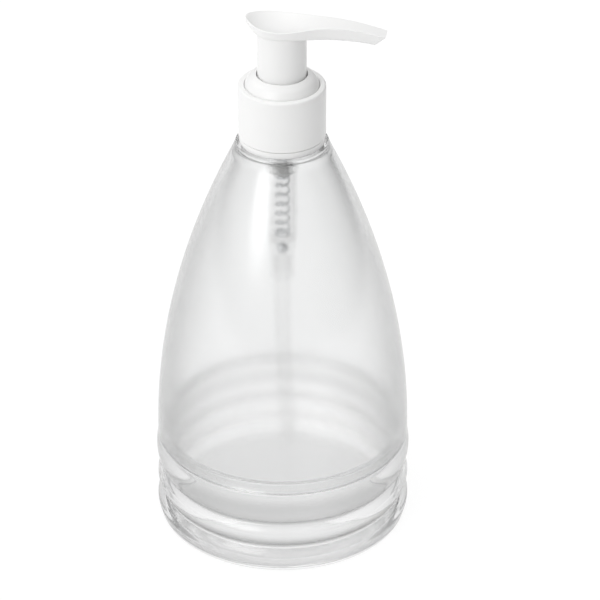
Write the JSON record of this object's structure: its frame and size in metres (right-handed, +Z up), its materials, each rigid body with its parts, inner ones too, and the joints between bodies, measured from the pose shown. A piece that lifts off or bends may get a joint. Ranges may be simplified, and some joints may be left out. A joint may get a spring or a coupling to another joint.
{
  "type": "soap pump dispenser",
  "caption": "Tall clear bottle on a ribbed clear base with a white screw-on lotion pump, for dispensing liquid soap by hand.",
  "frame": {"origin": "centre of the base's underside, at the height of the foot ring", "axes": "+Z up along the bottle's axis, +X the way the nozzle points at rest, +Y to its left"},
  "size_m": [0.0938, 0.0938, 0.2027],
  "materials": {
    "frosted_plastic": "clear plastic with a faint haze",
    "clear_plastic": "polished clear plastic",
    "white_plastic": "satin moulded white plastic",
    "natural_plastic": "milky natural plastic",
    "seal_rubber": "soft matt off-white",
    "steel": "bright drawn steel"
  },
  "bodies": {
    "bottle": {"bottle_body": "frosted_plastic", "base_cup": "clear_plastic"},
    "pump": {"neck_gasket": "seal_rubber", "pump_housing": "natural_plastic", "chaplet": "white_plastic", "stem_wiper": "seal_rubber", "ball_cage": "natural_plastic", "return_spring": "steel", "dip_tube": "natural_plastic"},
    "cap": {"inner_cap": "white_plastic", "cap_sleeve": "white_plastic"},
    "plunger": {"piston": "seal_rubber", "piston_rod": "white_plastic"},
    "head": {"plunger_stem": "white_plastic", "actuator": "white_plastic"},
    "lower_ball": {"inlet_ball": "steel"},
    "upper_ball": {"outlet_ball": "steel"}
  },
  "joints": [
    {"name": "pump_lift", "type": "slide", "parent": "bottle", "child": "pump", "axis": [0, 0, 1], "range_m": [0, 0.00635]},
    {"name": "cap_turn", "type": "hinge", "parent": "pump", "child": "cap", "pos_m": [0, 0, 0.165], "axis": [0, 0, 1], "range_deg": [0, 540]},
    {"name": "pump_press", "type": "slide", "parent": "pump", "child": "plunger", "axis": [0, 0, -1], "range_m": [0, 0.015], "stiffness_N_per_m": 400, "springref_m": -0.01, "deforming": ["return_spring"]},
    {"name": "head_turn", "type": "hinge", "parent": "plunger", "child": "head", "pos_m": [0, 0, 0.185], "axis": [0, 0, 1], "continuous": true},
    {"name": "inlet_ball_lift", "type": "slide", "parent": "pump", "child": "lower_ball", "axis": [0, 0, 1], "range_m": [0, 0.0012]},
    {"name": "outlet_ball_lift", "type": "slide", "parent": "head", "child": "upper_ball", "axis": [0, 0, 1], "range_m": [0, 0.0012]}
  ],
  "couplings": [
    {"joint": "cap_turn", "follows": "pump_lift", "rad_per_m": 1484.3}
  ]
}
